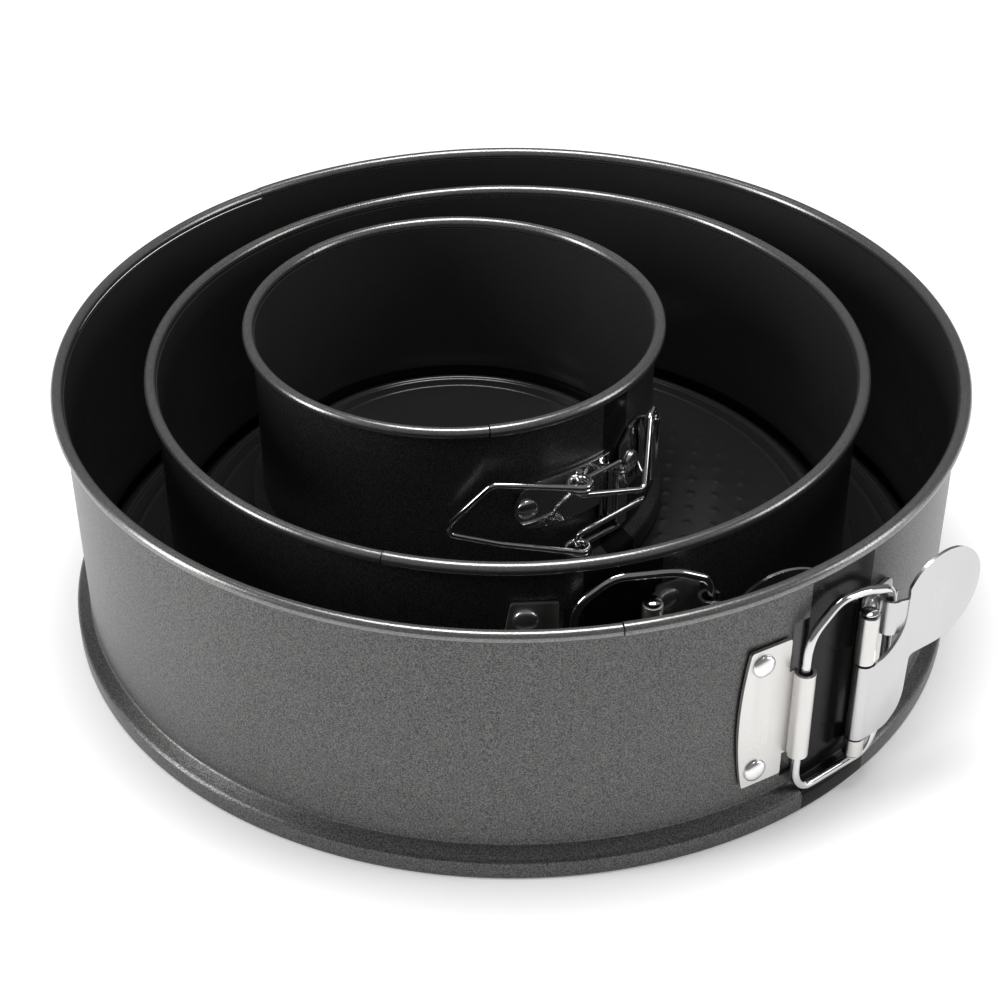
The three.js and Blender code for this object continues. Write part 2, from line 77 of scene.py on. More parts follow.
# ---- the pans, measured on the frame --------------------------------------------------------------
class Pan:
    """One pan: its centre, wall radius and foot level come from its base plate."""

    EDGE = 2.6
    EDGE_RISE = 1.3

    def __init__(self, name, rim, seam, end, back, still, moving, **latch):
        low, high = (Vector(corner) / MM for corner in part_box(f"{name}_base_plate"))
        self.name = name
        self.x = (low.x + high.x) / 2
        self.y = (low.y + high.y) / 2
        self.wall = max(high.x - low.x, high.y - low.y) / 2 - self.EDGE
        self.level = low.z - self.EDGE_RISE
        self.rim = rim
        self.seam = seam
        self.end = end
        self.back = back
        self.still = still
        self.moving = moving
        for key, value in latch.items():
            setattr(self, key, value)

    def round(self, angle, stand, z):
        """A point at an angle round the pan, beyond its wall, above its foot."""
        turn = math.radians(angle)
        r = self.wall + stand
        return Vector((self.x + r * math.sin(turn), self.y - r * math.cos(turn), self.level + z))

    def placed(self, angle):
        """Turns (along, out, up) at an angle into a place; out is beyond the wall."""
        turn = math.radians(angle)
        cos, sin = math.cos(turn), math.sin(turn)

        def place(point):
            along, out, up = point
            r = self.wall + out
            return Vector((
                self.x + along * cos + r * sin,
                self.y + along * sin - r * cos,
                self.level + up,
            ))

        return place


LARGE = Pan("large", rim=70.8, seam=12, end=36, back=219.7, still="large_pan", moving="large_half",
            pivot=43.7, anchor=34.6, reach=8.6, mid_z=34.3, tip=5.7, short=0,
            paddle_x=21.4, paddle_rise=14.7, paddle_radius=13.6, lever="large_lever", bail="large_bail")
MID = Pan("mid", rim=61, seam=-17.5, end=11, back=200, still="mid_pan", moving="mid_pan",
          pivot=20.4, anchor=9.3, reach=15, mid_z=30.3, tip=4.8, short=3.8,
          paddle_x=33, paddle_rise=7.1, paddle_radius=15.5, lever="mid_pan", bail="mid_pan")
SMALL = Pan("small", rim=55.4, seam=10.5, end=46, back=229, still="small_pan", moving="small_half")


# ---- materials ------------------------------------------------------------------------------------
def new_material(name):
    material = bpy.data.materials.new(name)
    material.use_nodes = True
    nodes = material.node_tree.nodes
    shader = nodes["Principled BSDF"]
    place = nodes.new("ShaderNodeTexCoord").outputs["Object"]
    return material, material.node_tree, shader, place


def noise(tree, place, scale, detail=2.0, stretch=(1, 1, 1)):
    mapping = tree.nodes.new("ShaderNodeMapping")
    mapping.inputs["Scale"].default_value = stretch
    tree.links.new(place, mapping.inputs["Vector"])
    node = tree.nodes.new("ShaderNodeTexNoise")
    node.inputs["Scale"].default_value = scale
    node.inputs["Detail"].default_value = detail
    tree.links.new(mapping.outputs["Vector"], node.inputs["Vector"])
    return node.outputs["Fac"]


def ramp(tree, value, low, high, start=0.3, stop=0.7):
    """Maps a value in start..stop onto low..high; low and high are numbers or grey levels."""
    node = tree.nodes.new("ShaderNodeMapRange")
    node.inputs["From Min"].default_value = start
    node.inputs["From Max"].default_value = stop
    node.inputs["To Min"].default_value = low
    node.inputs["To Max"].default_value = high
    tree.links.new(value, node.inputs["Value"])
    return node.outputs["Result"]


def tinted(tree, value, tint):
    """A grey level turned into a colour with a slight tint."""
    node = tree.nodes.new("ShaderNodeVectorMath")
    node.operation = "SCALE"
    node.inputs[0].default_value = tint
    tree.links.new(value, node.inputs["Scale"])
    return node.outputs["Vector"]


def math_node(tree, operation, first, second):
    node = tree.nodes.new("ShaderNodeMath")
    node.operation = operation
    for socket, value in zip(node.inputs, (first, second)):
        if isinstance(value, (int, float)):
            socket.default_value = value
        else:
            tree.links.new(value, socket)
    return node.outputs["Value"]


def bump(tree, shader, height, distance, strength=1.0):
    node = tree.nodes.new("ShaderNodeBump")
    node.inputs["Distance"].default_value = distance
    node.inputs["Strength"].default_value = strength
    tree.links.new(height, node.inputs["Height"])
    tree.links.new(node.outputs["Normal"], shader.inputs["Normal"])


def coating(name, grey, fleck, roughness, metallic, grain, specular=0.5):
    """Non-stick coating: dark, with fine metallic flecks and a slight orange peel."""
    material, tree, shader, place = new_material(name)
    flecks = noise(tree, place, 2800, 1.0)
    clouds = noise(tree, place, 22, 3.0)
    sparkle = ramp(tree, flecks, -fleck, fleck, 0.35, 0.65)
    shade = ramp(tree, clouds, grey * 0.95, grey * 1.05)
    level = math_node(tree, "ADD", shade, sparkle)
    tree.links.new(tinted(tree, level, (1.0, 0.995, 0.985)), shader.inputs["Base Color"])
    tree.links.new(ramp(tree, clouds, roughness, roughness + 0.04), shader.inputs["Roughness"])
    shader.inputs["Metallic"].default_value = metallic
    shader.inputs["Specular IOR Level"].default_value = specular
    bump(tree, shader, noise(tree, place, 1300, 2.0), grain)
    return material


def plated(name, grey, tint, roughness, brushed):
    """Plated steel: faint brushing and patches of slightly different polish."""
    material, tree, shader, place = new_material(name)
    patches = noise(tree, place, 60, 3.0)
    lines = noise(tree, place, 500, 2.0, (1, 1, 0.06))
    level = ramp(tree, patches, grey * 0.96, grey * 1.02)
    tree.links.new(tinted(tree, level, tint), shader.inputs["Base Color"])
    worn = ramp(tree, patches, roughness * 0.75, roughness * 1.3)
    streaks = ramp(tree, lines, 0.0, brushed)
    tree.links.new(math_node(tree, "ADD", worn, streaks), shader.inputs["Roughness"])
    shader.inputs["Metallic"].default_value = 1.0
    bump(tree, shader, lines, 0.00001 + brushed * 0.0001)
    return material


OUTSIDE = coating("coating_outside", 0.1, 0.05, 0.34, 0.8, 0.00001)
INSIDE = coating("coating_inside", 0.042, 0.005, 0.24, 0.3, 0.000004)
# Rim bead: the wall's own coating with its grey doubled, a painted highlight on the rolled rim.
RIM_PAINTED_HIGHLIGHT = coating("coating_rim", 0.2, 0.05, 0.24, 0.8, 0.000004)
# Near-black copy of the outer coating with weak specular: painted shade and painted dark reflection on
# the wall under the latch.
UNDER_LATCH_PAINTED_SHADE = coating("coating_underlap", 0.012, 0.002, 0.2, 0.15, 0.000004, specular=0.1)
BASE = coating("coating_base", 0.05, 0.006, 0.16, 0.7, 0.000004)
SATIN = plated("satin_plate", 0.68, (1.0, 0.98, 0.955), 0.3, 0.12)
CHROME = plated("bright_chrome", 0.66, (1.0, 1.0, 1.01), 0.08, 0.01)
PRESSED = plated("pressed_chrome", 0.56, (1.0, 1.0, 1.01), 0.2, 0.04)
RIVET = plated("rivet_steel", 0.8, (1.0, 1.0, 1.0), 0.24, 0.02)


# ---- mesh tools -----------------------------------------------------------------------------------
class Shape:
    """Vertices in millimetres and faces, gathered from several solids into one mesh."""

    def __init__(self):
        self.points = []
        self.faces = []
        self.slots = []

    def add(self, points, faces, slots=None):
        start = len(self.points)
        self.points += [Vector(p) for p in points]
        self.faces += [[i + start for i in face] for face in faces]
        self.slots += slots if slots else [0] * len(faces)
        return self

    def build(self, name, body, slot, materials, nodes=(), place=None, sharp=40, bevel=0.0):
        mesh = bpy.data.meshes.new(name)
        spots = [place(p) for p in self.points] if place else self.points
        mesh.from_pydata([p * MM for p in spots], [], self.faces)
        for material in materials:
            mesh.materials.append(material)
        mesh.polygons.foreach_set("material_index", self.slots)
        mesh.validate()
        piece = bpy.data.objects.new(name, mesh)
        bpy.context.scene.collection.objects.link(piece)
        clean(mesh)
        mesh.shade_smooth()
        mesh.set_sharp_from_angle(angle=math.radians(sharp))
        if bevel:
            edge = piece.modifiers.new("edges", "BEVEL")
            edge.width = bevel * MM
            edge.segments = 2
            edge.limit_method = "ANGLE"
            edge.angle_limit = math.radians(sharp)
            edge.harden_normals = True
        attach(piece, body)
        if nodes:
            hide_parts(*nodes)
        return piece


def clean(mesh):
    """Drops unused points and turns every face outward."""
    work = bmesh.new()
    work.from_mesh(mesh)
    unused = [vertex for vertex in work.verts if not vertex.link_faces]
    bmesh.ops.delete(work, geom=unused, context="VERTS")
    bmesh.ops.recalc_face_normals(work, faces=work.faces)
    work.to_mesh(mesh)
    work.free()


def ring_faces(rings, size, closed_rings, closed_section):
    """Quads between successive rings of points."""
    faces = []
    for i in range(rings if closed_rings else rings - 1):
        here = i * size
        there = (i + 1) % rings * size
        for j in range(size if closed_section else size - 1):
            k = (j + 1) % size
            faces.append([here + j, here + k, there + k, there + j])
    return faces


def rounded(points, radius, steps=4, closed=True):
    """Points with their corners rounded by short curves."""
    spots = [Vector(p) for p in points]
    count = len(spots)
    result = []
    for i, corner in enumerate(spots):
        if not closed and i in (0, count - 1):
            result.append(corner)
            continue
        back = spots[i - 1] - corner
        ahead = spots[(i + 1) % count] - corner
        cut = min(radius, back.length * 0.48, ahead.length * 0.48)
        entry = corner + back.normalized() * cut
        leave = corner + ahead.normalized() * cut
        for k in range(steps + 1):
            t = k / steps
            result.append((1 - t) ** 2 * entry + 2 * t * (1 - t) * corner + t * t * leave)
    return result


def swept(pan, outline, start, stop, slots=None):
    """A closed (stand, z) outline turned round the pan; stand is beyond the wall."""
    count = max(1, math.ceil((stop - start) / SWEEP_STEP))
    points = []
    for i in range(count + 1):
        angle = start + (stop - start) * i / count
        points += [pan.round(angle, stand, z) for stand, z in outline]
    size = len(outline)
    faces = ring_faces(count + 1, size, False, True)
    ids = [slots[j] for _ in range(count) for j in range(size)] if slots else [0] * len(faces)
    caps = geometry.tessellate_polygon([[Vector((a, b, 0)) for a, b in outline]])
    for start_index in (0, count * size):
        faces += [[start_index + i for i in triangle] for triangle in caps]
        ids += [0] * len(caps)
    return points, faces, ids


def lathe(profile, segments=40):
    """A (radius, height) profile turned round +Z at the origin, closed onto the axis."""
    points = []
    for i in range(segments):
        turn = 2 * math.pi * i / segments
        points += [(r * math.cos(turn), r * math.sin(turn), z) for r, z in profile]
    size = len(profile)
    faces = ring_faces(segments, size, True, False)
    poles = {}
    for k in (0, size - 1):
        ring = [i * size + k for i in range(segments)]
        if profile[k][0] > 0:
            faces.append(ring)
        else:
            poles.update(dict.fromkeys(ring, k))
    return points, [list(dict.fromkeys(poles.get(i, i) for i in face)) for face in faces]


def wire(path, radius, sides=14):
    """A round wire along a path."""
    spots = [Vector(p) for p in path]
    side = (spots[1] - spots[0]).orthogonal().normalized()
    points = []
    for i, spot in enumerate(spots):
        before = spots[max(i - 1, 0)]
        after = spots[min(i + 1, len(spots) - 1)]
        tangent = (after - before).normalized()
        side = (side - tangent * side.dot(tangent)).normalized()
        across = tangent.cross(side)
        for k in range(sides):
            turn = 2 * math.pi * k / sides
            points.append(spot + (side * math.cos(turn) + across * math.sin(turn)) * radius)
    faces = ring_faces(len(spots), sides, False, True)
    faces += [list(range(sides)), list(range(len(points) - sides, len(points)))]
    return points, faces


def prism(outline, low, high):
    """A plan outline of (x, y), standing from low to high."""
    size = len(outline)
    points = [(x, y, z) for z in (low, high) for x, y in outline]
    faces = [[i, (i + 1) % size, size + (i + 1) % size, size + i] for i in range(size)]
    caps = geometry.tessellate_polygon([[Vector((x, y, 0)) for x, y in outline]])
    faces += [[i + lift for i in triangle] for lift in (0, size) for triangle in caps]
    return points, faces


def strip_outline(path, thickness):
    """The plan outline of a sheet that follows a path."""
    spots = [Vector(p) for p in path]
    left, right = [], []
    for i, spot in enumerate(spots):
        tangent = (spots[min(i + 1, len(spots) - 1)] - spots[max(i - 1, 0)]).normalized()
        normal = Vector((-tangent.y, tangent.x)) * thickness / 2
        left.append(spot + normal)
        right.append(spot - normal)
    return [tuple(p) for p in left + right[::-1]]


def arc(x, y, radius, start, stop, count):
    """Points along an arc round (x, y)."""
    turns = [math.radians(start + (stop - start) * i / count) for i in range(count + 1)]
    return [(x + radius * math.cos(t), y + radius * math.sin(t)) for t in turns]


def pressed(outline, surface, thickness, spacing=0.9):
    """Sheet metal: an outline of (u, v) laid on a surface and given its thickness.

    surface(u, v, depth) gives the place of a point; depth runs from 0 to the thickness.
    """
    edge = [Vector(p) for p in outline]
    dense = []
    for i, corner in enumerate(edge):
        after = edge[(i + 1) % len(edge)]
        parts = max(1, round((after - corner).length / spacing))
        dense += [corner.lerp(after, k / parts) for k in range(parts)]
    low = Vector((min(p.x for p in dense), min(p.y for p in dense)))
    high = Vector((max(p.x for p in dense), max(p.y for p in dense)))
    size = len(dense)
    grid = []
    for i in range(int((high.x - low.x) / spacing) + 1):
        for j in range(int((high.y - low.y) / spacing) + 1):
            spot = low + Vector(((i + 0.5) * spacing, (j + 0.5) * spacing))
            if all((spot - p).length > spacing * 0.6 for p in dense):
                grid.append(spot)
    flat, _, triangles, *_ = geometry.delaunay_2d_cdt(dense + grid, [], [list(range(size))], 1, 1e-5)
    count = len(flat)
    points = [surface(p.x, p.y, depth) for depth in (0, thickness) for p in flat]
    faces = [list(t) for t in triangles] + [[i + count for i in t] for t in triangles]
    edges = {}
    for triangle in triangles:
        for i in range(3):
            pair = (triangle[i], triangle[(i + 1) % 3])
            edges[tuple(sorted(pair))] = None if tuple(sorted(pair)) in edges else pair
    for pair in edges.values():
        if pair:
            faces.append([pair[0], pair[1], pair[1] + count, pair[0] + count])
    return points, faces


# ---- bands and base plates ------------------------------------------------------------------------
def wall_outline(top):
    """The band's section with its foot channel, and the material of each stretch of it."""
    outer = [(0, top), (0, 7.5), (3.2, 5.6), (3.8, 4.9), (3.8, 0.5), (3.4, 0), (-1.2, 0)]
    inner = [(-1.2, SHEET), (3.0, SHEET), (3.2, 1.2), (3.2, 4.6), (2.6, 5.1), (-0.5, 6.9),
             (-SHEET, 7.4), (-SHEET, top)]
    spots = [Vector(p) for p in outer + inner]
    turn = len(outer)
    points, slots = [], []
    for i, corner in enumerate(spots):
        if i in (0, turn - 1, turn, len(spots) - 1):
            curve = [corner]
        else:
            curve = rounded([spots[i - 1], corner, spots[i + 1]], 0.5, 3, closed=False)[1:-1]
        points += [tuple(p) for p in curve]
        slots += [0 if i < turn else 1] * len(curve)
    slots[0] = 0
    return points, slots


def bead(pan, radius):
    """The rolled rim's section."""
    return arc(BEAD_OFFSET, pan.rim, radius, 0, 360, 24)[:-1]


def band(pan):
    """Both ends of a band: the outer one, and the inner one whose rim wraps it up to the seam."""
    top = pan.rim - 1.2
    outline, slots = wall_outline(top)
    names = [f"{pan.name}_band_left", f"{pan.name}_band_right"]
    nodes = [[n] for n in names] if pan is not MID else [["mid_band"], []]
    materials = [OUTSIDE, INSIDE, RIM_PAINTED_HIGHLIGHT, UNDER_LATCH_PAINTED_SHADE]
    edge = math.degrees(0.35 / pan.wall)

    outer = Shape()
    recess = pan.end if pan is SMALL else pan.end - math.degrees(RECESS / pan.wall)
    outer.add(*swept(pan, outline, pan.back - 360, recess, slots))
    if recess < pan.end:
        foot, foot_slots = wall_outline(11)
        outer.add(*swept(pan, foot, recess, pan.end, foot_slots))
        tab = [(0, top), (0, top - 12), (-SHEET, top - 12), (-SHEET, top)]
        outer.add(*swept(pan, tab, recess, pan.end, [0, 0, 1, 0]))
    add_rim(outer, pan, pan.back - 360, pan.seam - edge, OUTER_RIM)
    outer.build(names[0], pan.still, "coated_band", materials, nodes[0])

    inner = Shape()
    start = pan.end + edge / 3
    covered = getattr(pan, "pivot", pan.end + 8) + 2.5
    points, faces, ids = swept(pan, outline, start, pan.back, slots)
    # Slot 3: the inner end's outer wall under the latch, from its end to just past the pivot, gets the
    # near-black coating as painted shade and painted dark reflection.
    painted_shade_count = round((covered - start) / SWEEP_STEP) * len(outline)
    inner.add(points, faces, [3 if i < painted_shade_count and slot == 0 else slot for i, slot in enumerate(ids)])
    add_rim(inner, pan, pan.seam, pan.back, INNER_RIM)
    under = [(-1.6, 8), (-1.05, 8), (-1.05, pan.rim - 0.9), (-1.6, pan.rim - 0.9)]
    inner.add(*swept(pan, under, pan.seam + 5, pan.end + 3, [1, 1, 1, 1]))
    jog = [(-1.65, 8), (-0.2, 8), (-0.2, pan.rim - 4.3), (-1.65, pan.rim - 4.3)]
    inner.add(*swept(pan, jog, pan.end + 1.3, pan.end + 2.6, [1, 1, 1, 1]))
    inner.build(names[1], pan.moving, "coated_band", materials, nodes[1])


def add_rim(shape, pan, start, stop, radius):
    points, faces, _ = swept(pan, bead(pan, radius), start, stop)
    # Slot 2 gives the rim the coating lightened as a painted highlight.
    shape.add(points, faces, [2] * len(faces))


def waffle(reach):
    """Rows of small bumps: a top and rings of points round it for each, as (x, y, height)."""
    turn = math.radians(WAFFLE_TURN)
    cos, sin = math.cos(turn), math.sin(turn)
    count = int(reach / WAFFLE_PITCH) + 1
    spots = []
    for i, j in itertools.product(range(-count, count + 1), repeat=2):
        x = (i * cos - j * sin) * WAFFLE_PITCH
        y = (i * sin + j * cos) * WAFFLE_PITCH
        spare = reach - math.hypot(x, y)
        if spare < 0:
            continue
        height = WAFFLE_HEIGHT * min(1.0, 0.2 + spare / WAFFLE_PITCH)
        spots.append((x, y, height))
        for radius in (0.5, 1.0, 1.6, 2.4):
            share = (0.5 + 0.5 * math.cos(2 * math.pi * radius / WAFFLE_PITCH)) ** 4
            for k in range(10):
                around = math.radians(36 * k)
                spots.append((x + radius * math.cos(around), y + radius * math.sin(around),
                              height * share))
    return spots


def base_plate(pan, bumps=False):
    """A base plate: edge in the channel, riser, and a floor with a ring step."""
    wall = pan.wall
    flat = wall - 11
    top = [(wall - 9.6, FLOOR_Z), (wall - 9.0, FLOOR_Z + 0.3), (wall - 8.3, FLOOR_Z + 0.3),
           (wall - 7.6, FLOOR_Z - 0.6), (wall - 4.7, FLOOR_Z - 0.6), (wall - 4.1, FLOOR_Z + 0.1)]
    edge = [(wall - 2.7, FLOOR_Z + 0.1), (wall - 2.2, 2.1), (wall + 2.6, 2.1), (wall + 2.6, 1.3)]
    under = [(wall - 2.9, 1.3), (wall - 3.5, 4.0), (0.9 * wall, 4.0)]
    corners = [Vector(p) for p in [(flat, FLOOR_Z), *top, *edge, *under]]
    curve = rounded(corners, 0.7, 3, closed=False)
    points, faces = lathe([tuple(p) for p in curve], 160)
    if bumps:
        cap = faces.pop(-2)
        spots = waffle(flat - 3.5)
        plan = [Vector(points[i][:2]) for i in cap] + [Vector(spot[:2]) for spot in spots]
        index = cap + [len(points) + i for i in range(len(spots))]
        loop = list(range(len(cap)))
        _, _, triangles, origins, *_ = geometry.delaunay_2d_cdt(plan, [], [loop], 1, 1e-5)
        faces += [[index[origins[i][0]] for i in triangle] for triangle in triangles]
        points += [(x, y, FLOOR_Z + height) for x, y, height in spots]
    shape = Shape().add(points, faces)
    centre = Vector((pan.x, pan.y, pan.level))
    shape.build(f"{pan.name}_floor", pan.still, "coated_base", [BASE],
                [f"{pan.name}_base_plate"], place=lambda p: centre + p)


# ---- rivets ---------------------------------------------------------------------------------------
def rivet(pan, name, node, body, angle, along, up, head=3.0):
    """A domed rivet head on a bracket plate, and its flat tail inside the band."""
    seat = GAP + PLATE + 0.05
    dome = [(head * math.cos(math.radians(a)), seat + 0.25 + 1.15 * math.sin(math.radians(a)))
            for a in range(0, 90, 15)]
    profile = [(0.0, -SHEET - 0.3), (1.9, -SHEET - 0.3), (1.9, -SHEET), (1.2, -SHEET), (1.2, seat),
               (head, seat), *dome, (0.0, seat + 1.4)]
    points, faces = lathe(profile, 32)
    turned = [(x + along, z, y + up) for x, y, z in points]
    Shape().add(turned, faces).build(name, body, "bracket_steel", [RIVET], [node],
                                     place=pan.placed(angle))


# ---- sheet latch ----------------------------------------------------------------------------------
def arrange_bracket(pan, anchor):
    """The angle at the middle of a bracket plate, and where its eye is in that plate's frame."""
    stand = ANCHOR_STAND if anchor else PIVOT_STAND
    distance = -9.2 if anchor else 8.0
    centre = pan.anchor if anchor else pan.pivot
    turn = distance / (pan.wall + stand)
    along = -(pan.wall + stand) * math.sin(turn)
    out = (pan.wall + stand) * math.cos(turn) - pan.wall
    return centre + math.degrees(turn), along, out


def flat_sheet(outline, back, thickness):
    """A flat plate of (along, up) points, from "back" outward."""
    return pressed(outline, lambda u, v, depth: (u, back + depth, v), thickness, 2.5)


def rolled(centre, radius, start, stop, lead):
    """Plan path of a sheet that comes in along "lead" and rolls round a centre."""
    curl = arc(centre[0], centre[1], radius, start, stop, 26)
    return [*lead, *curl]


def bail_bracket(pan):
    angle, along, out = arrange_bracket(pan, True)
    half = BRACKET_HEIGHT / 2
    bow = [(-5.2 - 2.1 * (1 - (i / 6) ** 2), -half * i / 6) for i in range(-6, 7)]
    outline = rounded([(5.9, -half), (5.9, half), *bow], 0.7, 3)
    outline = [(p.x, p.y + pan.mid_z) for p in outline]
    shape = Shape().add(*flat_sheet(outline, GAP, PLATE))
    radius = BARREL - PLATE / 2
    middle = GAP + PLATE / 2
    path = rolled((along, out), radius, 250, -80, [(4.5, middle), (along - 3.2, middle)])
    low, high = pan.mid_z - 14.3, pan.mid_z + 10.7
    shape.add(*prism(strip_outline(path, PLATE * 0.85), low, high))
    shape.build(f"{pan.name}_bail_plate", pan.still, "bracket_steel", [SATIN],
                [f"{pan.name}_bail_bracket"], place=pan.placed(angle), bevel=0.18)
    for level, side in (("lower", -1), ("upper", 1)):
        node = f"{pan.name}_bail_rivet_{level}"
        rivet(pan, f"{node}_head", node, pan.still, angle, -1.8, pan.mid_z + side * (half - RIVET_INSET))


def hinge_bracket(pan):
    angle, along, out = arrange_bracket(pan, False)
    half = BRACKET_HEIGHT / 2
    low = pan.short - 24
    bow = [(5.4, low), (6.4, low + 6), (7.0, -8), (7.0, 6), (6.4, half - 4), (5.4, half)]
    outline = rounded([(-5.6, half), (-5.6, low), *bow], 1.6, 4)
    outline = [(p.x, p.y + pan.mid_z) for p in outline]
    shape = Shape().add(*flat_sheet(outline, GAP, PLATE))
    radius = KNUCKLE - 0.4
    middle = GAP + PLATE / 2
    path = rolled((along, out), radius, 290, 620, [(-4.5, middle), (-6.3, middle + 0.3)])
    for low, high in ((4.9, 18.6), (pan.short - 23.7, pan.short - 18.8)):
        shape.add(*prism(strip_outline(path, LEVER_SHEET), pan.mid_z + low, pan.mid_z + high))
    shape.build(f"{pan.name}_hinge_plate", pan.moving, "bracket_steel", [SATIN],
                [f"{pan.name}_hinge_bracket"], place=pan.placed(angle), bevel=0.18)
    for level, side in (("lower", -1), ("upper", 1)):
        node = f"{pan.name}_hinge_rivet_{level}"
        rivet(pan, f"{node}_head", node, pan.moving, angle, -2.2, pan.mid_z + side * (half - RIVET_INSET))


def hinge_pin(pan):
    low, high = pan.mid_z - 25 + pan.short, pan.mid_z + 20
    profile = [(0, low), (1.7, low), (2.0, low + 0.3), (2.0, low + 0.7), (1.3, low + 1.0),
               (1.3, high - 0.9), (2.0, high - 0.7), (2.0, high - 0.4), (1.4, high), (0, high)]
    points, faces = lathe(profile, 28)
    place = pan.placed(pan.pivot)
    points = [(x, y + PIVOT_STAND, z) for x, y, z in points]
    Shape().add(points, faces).build(f"{pan.name}_pin", pan.moving, "latch_chrome", [CHROME],
                                     [f"{pan.name}_hinge_pin"], place=place)


def lever(pan):
    """Lever: knuckle, a bulged panel, and a dished round paddle, with a curl that holds the bail."""
    shift = pan.reach - LARGE.reach
    z = pan.mid_z
    disc = (pan.paddle_x, z + pan.paddle_rise)
    radius = pan.paddle_radius
    line = [(0, 2.08), (3, 2.7), (7 + shift, 3.1), (12.8 + shift, 3.3), (disc[0] + radius + 0.5, pan.tip)]

    def middle(along):
        for (a, low), (b, high) in zip(line, line[1:]):
            if along <= b:
                t = (along - a) / (b - a)
                return low + (high - low) * t
        return line[-1][1]

    def surface(u, v, depth):
        bulge = 0.5 * math.exp(-((u - 6) / 3.5) ** 2 - ((v - z + 6) / 8) ** 2)
        near = math.hypot(u - disc[0], v - disc[1]) / radius
        dish = -0.45 * max(0.0, 1 - (near / 0.8) ** 2)
        return (u, PIVOT_STAND + middle(u) - 0.4 + bulge + dish + depth, v)

    foot = z + pan.short
    outline = [(0, foot - 18.3), (7 + shift, foot - 17.3), (11 + shift, foot - 14.3),
               (12.5 + shift, foot - 10.3), (13 + shift, disc[1] - radius + 0.3),
               *arc(*disc, radius, -92, 146, 40),
               (10.4 + shift, z + min(21, pan.paddle_rise + 7)), (10.2 + shift, z + 13),
               (8.6 + shift, z + 9.5), (5, z + 6.1), (0, z + 4.2)]
    outline = rounded(outline, 1.6, 3)
    shape = Shape().add(*pressed([tuple(p) for p in outline], surface, 0.8))
    knuckle = rolled((0, PIVOT_STAND), KNUCKLE - 0.4, 95, 420, [(2.2, PIVOT_STAND + 2.35)])
    shape.add(*prism(strip_outline(knuckle, LEVER_SHEET), foot - 18.3, z + 4.2))
    low = z + (9.7 if pan is LARGE else 7)
    out = PIVOT_STAND - 0.3
    reach = pan.reach
    lead = [(reach + 3.6, PIVOT_STAND + 3.2), (reach + 1.5, PIVOT_STAND + 2.9)]
    curl = rolled((reach - 0.2, out), 2.45, 88, 355, lead)
    shape.add(*prism(strip_outline(curl, LEVER_SHEET), low, low + 9.6))
    shape.build(f"{pan.name}_thumb_lever", pan.lever, "latch_chrome", [PRESSED],
                [f"{pan.name}_lever"], place=pan.placed(pan.pivot), bevel=0.2, sharp=50)


def bail(pan):
    """The bail: one wire bent into a loop, butted inside the anchor's eye."""
    spread = math.radians(pan.anchor - pan.pivot)
    eye = pan.wall + ANCHOR_STAND
    near = Vector((eye * math.sin(spread), eye * math.cos(spread) - pan.wall))
    far = Vector((pan.reach, PIVOT_STAND - 0.3))
    length = (far - near).length
    along = (far - near).normalized()
    low = pan.short - 27.2
    corners = [(0, -0.8), (0, 16.7), (1.6, 21.5), (9.2, 27), (length - 9.3, 25.6), (length - 1, 21.8),
               (length, 18.4), (length, low + 5.4), (length - 3.4, low), (3.4, low), (0, low + 4.6),
               (0, -1.3)]
    spots = [Vector((near.x + along.x * u, near.y + along.y * u, up + pan.mid_z)) for u, up in corners]
    path = rounded(spots, 3, 6, closed=False)
    Shape().add(*wire(path, BAIL_WIRE, 16)).build(
        f"{pan.name}_bail_wire", pan.bail, "latch_chrome", [CHROME], [f"{pan.name}_bail"],
        place=pan.placed(pan.pivot))


def sheet_latch(pan):
    bail_bracket(pan)
    hinge_bracket(pan)
    hinge_pin(pan)
    lever(pan)
    bail(pan)


# ---- wire latch of the small pan --------------------------------------------------------------------
EYE_ANGLE = 31.8
EYE_STAND = 7.46
EYE_LOW = 17.3
EYE_HIGH = 37.8
EYE_RADIUS = 3.1
PIVOT_ANGLE = 49
PIVOT_OUT = 3.97
HOOK_ANGLE = 64.5
HOOK_OUT = 4.39
HOOK_LOW = 21.5
HOOK_HIGH = 40.6
RIVET_Z = 29.6


def curved_plate(outline, thickness=0.8):
    """A plate of (angle, up) points that follows the band."""
    scale = math.radians(SMALL.wall)

    def surface(u, v, depth):
        return SMALL.round(u / scale, GAP + depth, v)

    return pressed([(a * scale, v) for a, v in outline], surface, thickness, 1.6)


def small_eye(angle, stand, radius, low, high, lead_angle):
    """A plate's edge rolled into an eye, standing beyond the wall."""
    place = SMALL.placed(angle)
    side = 1 if lead_angle < angle else -1
    gap = (angle - lead_angle) * math.radians(SMALL.wall)
    curl = arc(0, stand, radius, -90, -90 + 330, 26)
    path = [(-abs(gap), GAP + 0.4), (-1.6, GAP + 0.6), *curl]
    outline = strip_outline([(x * side, y) for x, y in path], 0.6)
    points, faces = prism(outline, low, high)
    return [place(p) for p in points], faces


def strap_bracket():
    half = 7.4
    middle = 30.0
    scale = math.radians(SMALL.wall)
    end = 17 + half / scale
    tip = [(end + (x / scale), y) for x, y in arc(0, middle, half, 90, 270, 14)]
    shape = Shape().add(*curved_plate([*tip, (47.5, middle - half), (47.5, middle + half)]))
    shape.add(*small_eye(PIVOT_ANGLE, PIVOT_OUT, 1.5, 16.5, 32.7, 44))
    shape.build("small_strap", SMALL.still, "latch_chrome", [CHROME], ["small_strap_bracket"], bevel=0.15)
    rivet(SMALL, "small_strap_rivet_head", "small_strap_rivet", SMALL.still, 20.5, 0, RIVET_Z)


